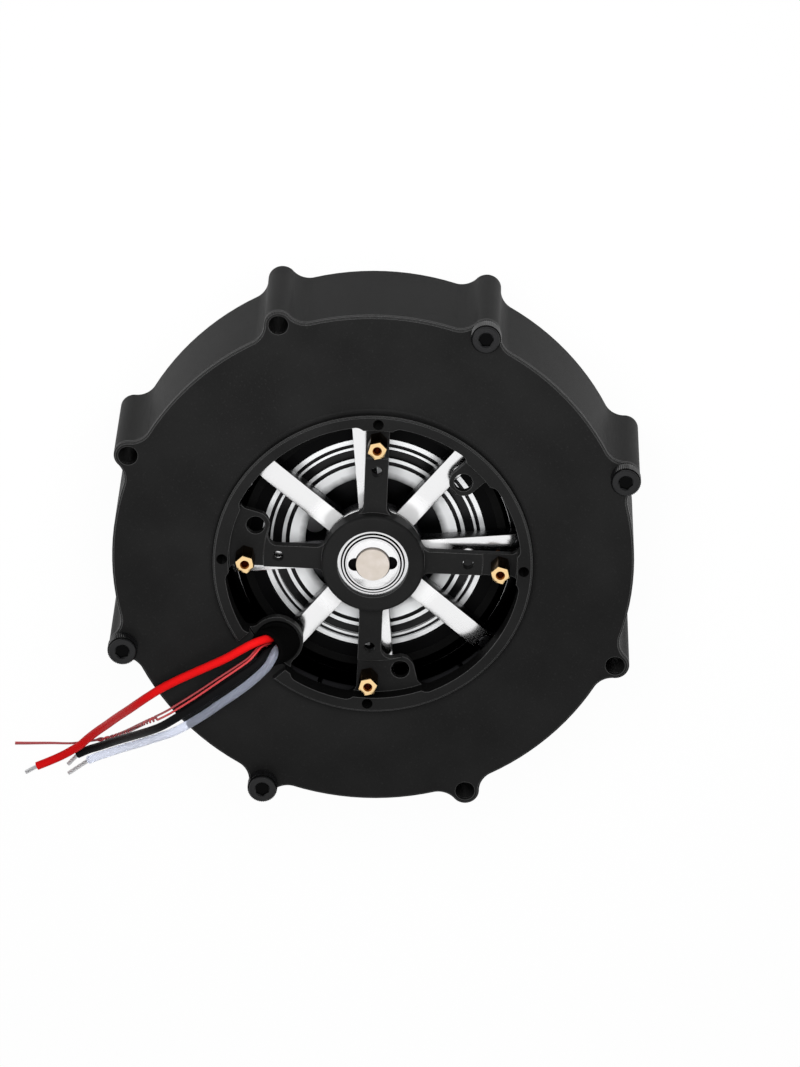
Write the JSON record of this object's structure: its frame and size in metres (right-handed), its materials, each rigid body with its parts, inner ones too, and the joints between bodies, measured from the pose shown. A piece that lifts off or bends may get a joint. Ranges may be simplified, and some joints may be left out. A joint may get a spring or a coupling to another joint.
{
  "type": "robot joint module",
  "caption": "Flat round motor with a planetary gear stage in its bore, an open rear bracket over a spoked rotor, brass board standoffs and loose leads.",
  "frame": {"origin": "on the module's axis, in the plane of the front face that it lies on", "axes": "+Z along the axis, from the output flange to the rear bracket; +X and -X between the pairs of free bolt bosses; the leads leave towards -Y"},
  "size_m": [0.1212, 0.1687, 0.0371],
  "materials": {
    "black_metal": "matte black, fine grain",
    "bracket_metal": "satin black",
    "black_screw": "black oxide",
    "brass": "turned",
    "rubber": "matte",
    "lamination": "stacked sheets",
    "winding": "enamelled copper",
    "gear_steel": "ground",
    "bright_alloy": "machined",
    "dark_steel": "blackened",
    "bearing_steel": "polished",
    "magnet": "nickel plated",
    "sensor_magnet": "matte plated",
    "seal": "matte",
    "flange_alloy": "machined",
    "red_cover": "glossy",
    "black_cover": "glossy",
    "white_cover": "glossy",
    "thin_cover": "glossy",
    "tinned": "tinned"
  },
  "bodies": {
    "case": {"front_housing": "black_metal", "rear_cover": "bracket_metal", "case_screws": "black_screw", "board_standoffs": "brass", "cable_boot": "rubber", "stator_core": "lamination", "stator_coils": "winding", "ring_gear": "gear_steel", "gearbox_cap": "bright_alloy", "cap_retainer": "dark_steel", "output_bearing_outer": "bearing_steel", "output_bearing_balls": "bearing_steel", "output_seal": "seal", "rear_bearing_outer": "bearing_steel", "rear_bearing_balls": "bearing_steel", "rear_bearing_shield": "bearing_steel", "red_lead": "red_cover", "black_lead": "black_cover", "white_lead": "white_cover", "sensor_pair": "thin_cover", "tinned_ends": "tinned"},
    "rotor": {"rotor_hub": "bright_alloy", "rotor_iron_ring": "dark_steel", "rotor_magnets": "magnet", "spoke_screws": "dark_steel", "sun_gear": "gear_steel", "encoder_magnet": "sensor_magnet", "rear_bearing_inner": "bearing_steel", "nose_bearing_inner": "bearing_steel"},
    "output": {"output_flange": "flange_alloy", "carrier_plate": "dark_steel", "carrier_screws": "dark_steel", "planet_pins": "gear_steel", "output_bearing_inner": "bearing_steel", "nose_bearing_outer": "bearing_steel", "nose_bearing_balls": "bearing_steel"},
    "planet_1": {"planet_gear_1": "gear_steel", "planet_bush_1": "brass"},
    "planet_2": {"planet_gear_2": "gear_steel", "planet_bush_2": "brass"},
    "planet_3": {"planet_gear_3": "gear_steel", "planet_bush_3": "brass"}
  },
  "joints": [
    {"name": "rotor_spin", "type": "hinge", "parent": "case", "child": "rotor", "pos_m": [0, 0, 0.024], "axis": [0, 0, 1], "continuous": true},
    {"name": "output_turn", "type": "hinge", "parent": "case", "child": "output", "pos_m": [0, 0, 0.005], "axis": [0, 0, 1], "continuous": true},
    {"name": "planet_1_spin", "type": "hinge", "parent": "output", "child": "planet_1", "pos_m": [0, 0.0144, 0.0125], "axis": [0, 0, 1], "continuous": true},
    {"name": "planet_2_spin", "type": "hinge", "parent": "output", "child": "planet_2", "pos_m": [-0.01247, -0.0072, 0.0125], "axis": [0, 0, 1], "continuous": true},
    {"name": "planet_3_spin", "type": "hinge", "parent": "output", "child": "planet_3", "pos_m": [0.01247, -0.0072, 0.0125], "axis": [0, 0, 1], "continuous": true}
  ],
  "couplings": [
    {"joint": "output_turn", "follows": "rotor_spin", "ratio": 0.16667},
    {"joint": "planet_1_spin", "follows": "rotor_spin", "ratio": -0.41667},
    {"joint": "planet_2_spin", "follows": "rotor_spin", "ratio": -0.41667},
    {"joint": "planet_3_spin", "follows": "rotor_spin", "ratio": -0.41667}
  ]
}
